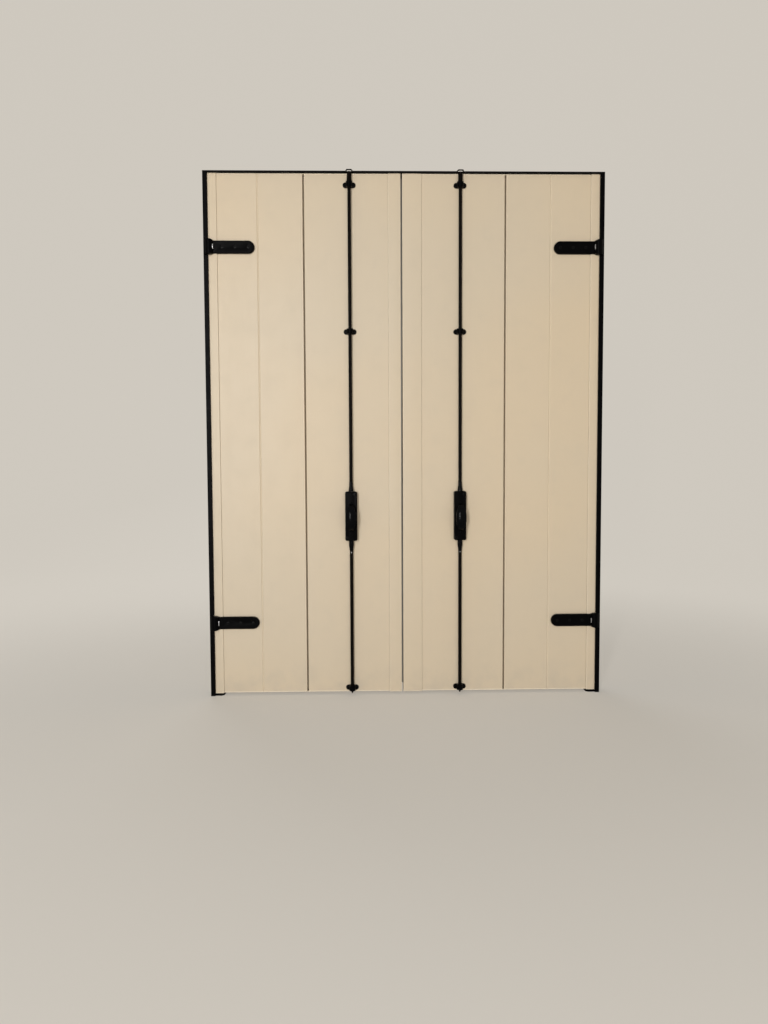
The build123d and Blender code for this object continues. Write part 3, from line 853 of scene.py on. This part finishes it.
@dataclass
class Straps:
    """The goose-neck strap hinges, each with a bright locking key beside its shoulder."""

    shop: Workshop
    cast_edge: float = 0.9 * MM
    key_size: Triple = (2.2 * MM, 4.6 * MM, 12.0 * MM)
    key_from_pivot_edge: float = 26.35 * MM
    key_front: float = 5.4 * MM
    key_edge: float = 0.4 * MM

    def build(self) -> None:
        """Dresses the four straps."""
        for side in SIDES:
            for end in ("top", "bottom"):
                node = f"{side}_{end}_strap"
                casting = self.shop.eased(node, f"{node}_casting", self.cast_edge, 3)
                self.shop.fit(casting, Finish.CASTING, node)
                self._key(node, 1 if side == "left" else -1)

    def _key(self, node: str, inwards: int) -> None:
        """Sets a locking key into one strap, at the foot of its shoulder.

        Args:
            node: The strap's node.
            inwards: 1 where the strap reaches to the right, or -1.
        """
        low, high = self.shop.box(node)
        outer = low.x if inwards > 0 else high.x
        away = outer + inwards * self.key_from_pivot_edge
        place = Matrix.Translation((away, low.y + self.key_front, (low.z + high.z) / 2))
        shape = bmesh.new()
        size = Matrix.Diagonal((*self.key_size, 1.0))
        bmesh.ops.create_cube(shape, size=1.0, matrix=place @ size)
        bmesh.ops.bevel(shape, geom=shape.edges[:], offset=self.key_edge, segments=3, profile=0.5,
                        affect="EDGES", material=-1)
        self.shop.add(piece_from(shape, f"{node}_key"), Finish.STEEL, node)


@dataclass
class Bow:
    """A bow handle: a crowned bow that stands off a base plate, both lens-shaped in outline."""

    length: float = 79.0 * MM
    width: float = 26.0 * MM
    base_width: float = 22.0 * MM
    base_depth: float = 4.0 * MM
    rise: float = 23.0 * MM
    thickness: float = 7.0 * MM
    crown: float = 4.0 * MM
    reach: float = 34.9 * MM
    arch_height: float = 26.0 * MM
    arch_power: float = 2.2
    arch_turn: float = math.radians(80)
    across: int = 14
    along: int = 64
    edge: float = 1.0 * MM
    edge_segments: int = 4
    crease: float = 40.0

    def piece(self, name: str, low: Vector, high: Vector) -> bpy.types.Object:
        """Builds the handle where its stand-in is.

        Args:
            name: The piece's name.
            low: The stand-in's lowest corner.
            high: Its highest corner.

        Returns:
            The piece.
        """
        shape = bmesh.new()
        for form in (self._bow_point, self._base_point):
            self._slab(shape, form)
        middle = Vector(((low.x + high.x) / 2, low.y, (low.z + high.z) / 2))
        bmesh.ops.translate(shape, verts=shape.verts, vec=middle)
        bmesh.ops.recalc_face_normals(shape, faces=shape.faces)
        piece = piece_from(shape, name, self.crease)
        round_edges(piece, self.edge, self.edge_segments, self.crease)
        return piece

    def _slab(self, shape: bmesh.types.BMesh,
              form: Callable[[float, float, float], Vector]) -> None:
        """Adds a gridded slab and bends it to a form.

        Args:
            shape: The shape that takes the slab.
            form: Gives a point for a place across and along, each -1 to 1, and a depth, 0 or 1.
        """
        before = set(shape.verts)
        grid = bmesh.ops.create_grid(shape, x_segments=self.across, y_segments=self.along, size=1.0)
        faces = list({face for vert in grid["verts"] for face in vert.link_faces})
        back = bmesh.ops.extrude_face_region(shape, geom=faces)
        raised = [item for item in back["geom"] if isinstance(item, bmesh.types.BMVert)]
        bmesh.ops.translate(shape, verts=raised, vec=(0, 0, 1))
        for vert in set(shape.verts) - before:
            vert.co = form(*vert.co)

    def _half_width(self, width: float, height: float) -> float:
        """Half the width of a lens outline.

        Args:
            width: The lens's full width.
            height: The height above its middle.

        Returns:
            The half width, below 0 past the lens's points.
        """
        radius = (self.length ** 2 + width ** 2) / (4 * width)
        return math.sqrt(max(radius ** 2 - height ** 2, 0.0)) - radius + width / 2

    def _bow_point(self, across: float, along: float, deep: float) -> Vector:
        """A point of the bow, whose front is at a depth of 0.

        Args:
            across: The place across, -1 to 1.
            along: The place along, -1 to 1.
            deep: 0 on the front and 1 on the back.

        Returns:
            The point, from the middle of the bow's front.
        """
        turn = along * self.arch_turn
        share = 2 / self.arch_power
        inset = deep * self.thickness
        height = math.copysign(abs(math.sin(turn)) ** share * (self.reach - inset), turn)
        arch = self.arch_height - abs(math.cos(turn)) ** share * (self.arch_height - inset)
        side = across * self._half_width(self.width, height)
        return Vector((side, arch + (1 - deep) * self.crown * (2 * side / self.width) ** 2, height))

    def _base_point(self, across: float, along: float, deep: float) -> Vector:
        """A point of the base plate.

        Args:
            across: The place across, -1 to 1.
            along: The place along, -1 to 1.
            deep: 0 on the front and 1 on the back.

        Returns:
            The point, from the middle of the bow's front.
        """
        height = along * self.length / 2
        side = across * self._half_width(self.base_width, height)
        return Vector((side, self.rise + deep * self.base_depth, height))


@dataclass
class BoltWork:
    """The rods, ferrules, guides, lock housings and bow handles."""

    shop: Workshop
    cast_edge: float = 0.6 * MM
    rod_edge: float = 0.3 * MM
    bow: Bow = field(default_factory=Bow)
    round_corners: int = 48
    upper_ferrule: tuple[tuple[float, float], ...] = (
        (5.7, 0.0), (6.2, 0.5), (6.2, 3.0), (6.0, 5.0), (5.5, 9.0),
        (5.0, 12.5), (4.75, 15.0), (4.65, 17.0), (4.65, 23.6), (4.35, 24.0),
    )
    lower_ferrule: tuple[tuple[float, float], ...] = (
        (5.7, 0.0), (6.2, 0.5), (6.2, 11.5), (6.0, 13.0), (5.5, 16.5),
        (5.0, 19.5), (4.75, 21.5), (4.65, 23.0), (4.65, 25.6), (4.35, 26.0),
    )
    pin_radius: float = 1.3 * MM
    pin_drop: float = 3.4 * MM
    pin_stand: float = 0.3 * MM
    pin_corners: int = 20
    pin_profile: tuple[tuple[float, float], ...] = (
        (1.0, -2.0), (1.0, -0.25), (0.75, -0.05), (0.3, 0.0),
    )

    def build(self) -> None:
        """Dresses the bolt work of both leaves."""
        for side in SIDES:
            self._rods(side)
            for node in (f"{side}_rod_guides", f"{side}_lock_housing"):
                casting = self.shop.eased(node, f"{node}_casting", self.cast_edge, 3)
                self.shop.fit(casting, Finish.CASTING, node)
            handle = f"{side}_handle"
            bow = self.bow.piece(f"{handle}_casting", *self.shop.box(handle))
            self.shop.fit(bow, Finish.BOW, handle)
            gears = [f"{side}_{part}" for part in ("pinion", "top_rack", "bottom_rack")]
            self.shop.coat(gears, Finish.STEEL)
            self.shop.coat([f"{side}_lock_back_plate"], Finish.PROFILE)

    def _rods(self, side: str) -> None:
        """Dresses one leaf's rods, turns their ferrules and sets the pin in the lower rod.

        Args:
            side: left or right.
        """
        for part in ("top_rod", "top_rod_tip", "bottom_rod"):
            node = f"{side}_{part}"
            self.shop.fit(self.shop.eased(node, f"{node}_turned", self.rod_edge), Finish.ROD, node)
        self._ferrule(f"{side}_top_ferrule", self.upper_ferrule, 1)
        self._ferrule(f"{side}_bottom_ferrule", self.lower_ferrule, -1)
        self._pin(f"{side}_bottom_rod", f"{side}_bottom_ferrule")

    def _ferrule(self, node: str, profile: Sequence[tuple[float, float]],
                 upwards: int) -> None:
        """Turns one ferrule: a collar at the housing, a hollow taper and a sleeve round the rod.

        Args:
            node: The ferrule's node.
            profile: Radius and distance from the housing of each ring, in mm.
            upwards: 1 where the ferrule stands over the housing, or -1.
        """
        low, high = self.shop.box(node)
        start = low.z if upwards > 0 else high.z
        place = Matrix.Translation(((low.x + high.x) / 2, (low.y + high.y) / 2, start))
        rings = [(radius * MM, upwards * away * MM, self.round_corners) for radius, away in profile]
        shape = bmesh.new()
        turned(shape, rings if upwards > 0 else rings[::-1], place)
        self.shop.fit(piece_from(shape, f"{node}_turned"), Finish.BOW, node)

    def _pin(self, rod: str, ferrule: str) -> None:
        """Sets a small domed pin into the front of a lower rod, just below its ferrule.

        Args:
            rod: The rod's node.
            ferrule: The ferrule's node.
        """
        front, back = self.shop.box(rod)
        under = self.shop.box(ferrule)[0].z
        face = Vector(((front.x + back.x) / 2, front.y - self.pin_stand, under - self.pin_drop))
        rings = []
        for share, away in self.pin_profile:
            rings.append((self.pin_radius * share, away * MM, self.pin_corners))
        shape = bmesh.new()
        turned(shape, rings, Matrix.Translation(face) @ Matrix.Rotation(math.radians(90), 4, "X"))
        self.shop.add(piece_from(shape, f"{rod}_pin"), Finish.STEEL, rod)


@dataclass
class Fasteners:
    """Countersunk screws with a socket, and the rivets of the frame."""

    shop: Workshop
    corners: int = 32
    socket_corners: int = 6
    socket_share: float = 0.46
    socket_depth: float = 1.1 * MM
    rim: float = 0.25 * MM
    head_height: float = 2.0 * MM
    shank: float = 2.0 * MM
    thin_shank: float = 1.5 * MM
    large_head: float = 3.2 * MM
    point: float = 0.5 * MM
    crease: float = 30.0

    def build(self) -> None:
        """Replaces every screw and rivet."""
        for side in SIDES:
            node = f"{side}_leaf_screws"
            self._fit_all(node, f"{node}_socketed")
        self._fit_all("frame_fasteners", "frame_fasteners_socketed")

    def _fit_all(self, node: str, name: str) -> None:
        """Builds one piece that holds all screws of a node.

        Args:
            node: The node that they replace.
            name: The piece's name.
        """
        shape = bmesh.new()
        for low, high in solids_of(self.shop.nodes[node]):
            self._screw(shape, low, high)
        self.shop.fit(piece_from(shape, name, self.crease), Finish.SCREW, node)

    def _screw(self, shape: bmesh.types.BMesh, low: Vector, high: Vector) -> None:
        """Adds one screw that fills the box of its plain stand-in.

        Args:
            shape: The shape that takes it.
            low: The box's lowest corner.
            high: Its highest corner.
        """
        turn, length, head, face = self._placed(low, high)
        shank = self.shank if head > self.large_head else self.thin_shank
        deep = min(self.head_height, length / 2)
        socket = head * self.socket_share
        outside = [
            (shank * 0.6, -length), (shank * 0.98, -length + self.point), (shank * 0.98, -deep),
            (head * 0.97, -self.rim), (head * 0.93, -self.rim * 0.2), (head * 0.86, 0.0),
        ]
        inside = [
            (socket * 1.08, 0.0), (socket, -self.rim * 0.6),
            (socket * 0.96, -min(self.socket_depth, deep * 0.8)),
        ]
        rings = [(*size, self.corners) for size in outside]
        rings += [(*size, self.socket_corners) for size in inside]
        turned(shape, rings, Matrix.Translation(face) @ turn)

    @staticmethod
    def _placed(low: Vector, high: Vector) -> tuple[Matrix, float, float, Vector]:
        """Finds which way a screw points.

        Args:
            low: The box's lowest corner.
            high: Its highest corner.

        Returns:
            The turn from +Z to its head, its length, its head's radius and its head's centre.
        """
        size = high - low
        middle = (low + high) / 2
        if abs(size.x - size.z) < SAME_LENGTH:
            turn = Matrix.Rotation(math.radians(90), 4, "X")
            return turn, size.y, size.x / 2, Vector((middle.x, low.y, middle.z))
        if abs(size.x - size.y) < SAME_LENGTH:
            return Matrix.Identity(4), size.z, size.x / 2, Vector((middle.x, middle.y, high.z))
        towards = 1 if middle.x < 0 else -1
        edge = high.x if middle.x < 0 else low.x
        turn = Matrix.Rotation(math.radians(90 * towards), 4, "Y")
        return turn, size.x, size.y / 2, Vector((edge, middle.y, middle.z))


@dataclass(frozen=True)
class Lamp:
    """A soft rectangular lamp that the camera doesn't see."""

    name: str
    place: Triple
    target: Triple
    size: tuple[float, float]
    power: float
    colour: Triple
    mirrored: bool = False

    def build(self) -> None:
        """Adds the lamp, which glossy surfaces show only if it is mirrored."""
        data = bpy.data.lights.new(self.name, "AREA")
        data.shape = "RECTANGLE"
        data.size, data.size_y = self.size
        data.energy = self.power
        data.color = self.colour
        lamp = bpy.data.objects.new(self.name, data)
        lamp.location = self.place
        aim = Vector(self.target) - Vector(self.place)
        lamp.rotation_euler = aim.to_track_quat("-Z", "Y").to_euler()
        lamp.visible_glossy = self.mirrored
        lamp.visible_camera = False
        bpy.context.scene.collection.objects.link(lamp)


# A tall narrow lamp at the left, a broad low one in front and a soft one outdoors.
LAMPS = (
    Lamp(name="room_window", place=(-1.2, -4.2, 1.15), target=(0.0, 0.0, 0.55), size=(0.22, 2.2),
         power=80.0, colour=(1.0, 0.98, 0.96), mirrored=True),
    Lamp(name="room_wall", place=(0.3, -3.2, 0.7), target=(0.05, 0.0, 0.0), size=(2.8, 1.0),
         power=30.0, colour=(1.0, 0.93, 0.85)),
    Lamp(name="yard_sky", place=(-0.9, 2.7, 1.7), target=(0.0, 0.0, 0.55), size=(2.2, 1.4),
         power=34.0, colour=(0.97, 0.98, 1.0)),
)


@dataclass
class Studio:
    """The pale room round the object: floor, backdrop, lamps, world and camera."""

    shop: Workshop
    camera_place: Triple = (-0.0974, -1.9542, 0.5788)
    camera_turn: Triple = (86.728, 0.25, -1.273)
    lens: float = 27.04
    sensor: float = 36.0
    floor_reach: float = 9.0
    backdrop_distance: float = 3.2
    cove_radius: float = 0.9
    cove_steps: int = 16
    backdrop_height: float = 4.5
    air_colour: Colour = (0.93, 0.92, 0.90, 1.0)
    air_strength: float = 0.26

    def build(self) -> None:
        """Builds the studio."""
        self._floor()
        for lamp in LAMPS:
            lamp.build()
        self._world()
        self._camera()
        bpy.context.scene.view_settings.view_transform = "Standard"

    def _floor(self) -> None:
        """A floor that rises behind the object in one cove."""
        shape = bmesh.new()
        start = shape.verts.new((-self.floor_reach, -self.floor_reach, 0.0))
        flat_end = self.backdrop_distance - self.cove_radius
        turn = shape.verts.new((-self.floor_reach, flat_end, 0.0))
        shape.edges.new((start, turn))
        cove = bmesh.ops.spin(
            shape, geom=[turn], cent=(0.0, flat_end, self.cove_radius), axis=(1, 0, 0),
            angle=math.radians(90), steps=self.cove_steps)
        last = [item for item in cove["geom_last"] if isinstance(item, bmesh.types.BMVert)]
        raised = bmesh.ops.extrude_vert_indiv(shape, verts=last)
        bmesh.ops.translate(shape, verts=raised["verts"], vec=(0, 0, self.backdrop_height))
        swept = bmesh.ops.extrude_edge_only(shape, edges=list(shape.edges))
        across = [item for item in swept["geom"] if isinstance(item, bmesh.types.BMVert)]
        bmesh.ops.translate(shape, verts=across, vec=(2 * self.floor_reach, 0, 0))
        bmesh.ops.recalc_face_normals(shape, faces=shape.faces)
        floor = piece_from(shape, "studio_floor")
        self.shop.finishes.coat(floor, Finish.STUDIO)

    def _world(self) -> None:
        """A pale even surround that lights the object weakly and looks like the backdrop."""
        world = bpy.data.worlds.new("studio_air")
        world.use_nodes = True
        nodes = world.node_tree.nodes
        links = world.node_tree.links
        air = nodes["Background"]
        air.inputs["Color"].default_value = self.air_colour
        air.inputs["Strength"].default_value = self.air_strength
        shown = nodes.new("ShaderNodeBackground")
        shown.inputs["Color"].default_value = StudioPaint.far_colour
        rays = nodes.new("ShaderNodeLightPath")
        seen = rays.outputs["Is Camera Ray"]
        for ray in ("Is Glossy Ray", "Is Transmission Ray"):
            either = nodes.new("ShaderNodeMath")
            either.operation = "MAXIMUM"
            links.new(seen, either.inputs[0])
            links.new(rays.outputs[ray], either.inputs[1])
            seen = either.outputs[0]
        mix = nodes.new("ShaderNodeMixShader")
        links.new(seen, mix.inputs[0])
        links.new(air.outputs[0], mix.inputs[1])
        links.new(shown.outputs[0], mix.inputs[2])
        links.new(mix.outputs[0], nodes["World Output"].inputs["Surface"])
        bpy.context.scene.world = world

    def _camera(self) -> None:
        """The camera at the photograph's place."""
        data = bpy.data.cameras.new("room_camera")
        data.sensor_width = self.sensor
        data.lens = self.lens
        camera = bpy.data.objects.new("room_camera", data)
        camera.location = self.camera_place
        camera.rotation_euler = [math.radians(angle) for angle in self.camera_turn]
        bpy.context.scene.collection.objects.link(camera)
        bpy.context.scene.camera = camera


@dataclass
class ShutterPair:
    """The whole object and its picture."""

    shop: Workshop

    def assemblies(self) -> list[Assembly]:
        """The sub-assemblies in the order in which they are built.

        Returns:
            One of each kind.
        """
        kinds = (Leaves, EdgeFrame, Straps, BoltWork, Fasteners, Studio)
        return [kind(self.shop) for kind in kinds]

    def build(self) -> None:
        """Builds every sub-assembly."""
        for assembly in self.assemblies():
            LOG.info("building %s", type(assembly).__name__)
            assembly.build()


def main() -> None:
    """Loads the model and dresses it."""
    logging.basicConfig(level=logging.INFO, format="%(name)s: %(message)s")
    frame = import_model()
    ShutterPair(Workshop(frame)).build()


if __name__ == "__main__":
    main()
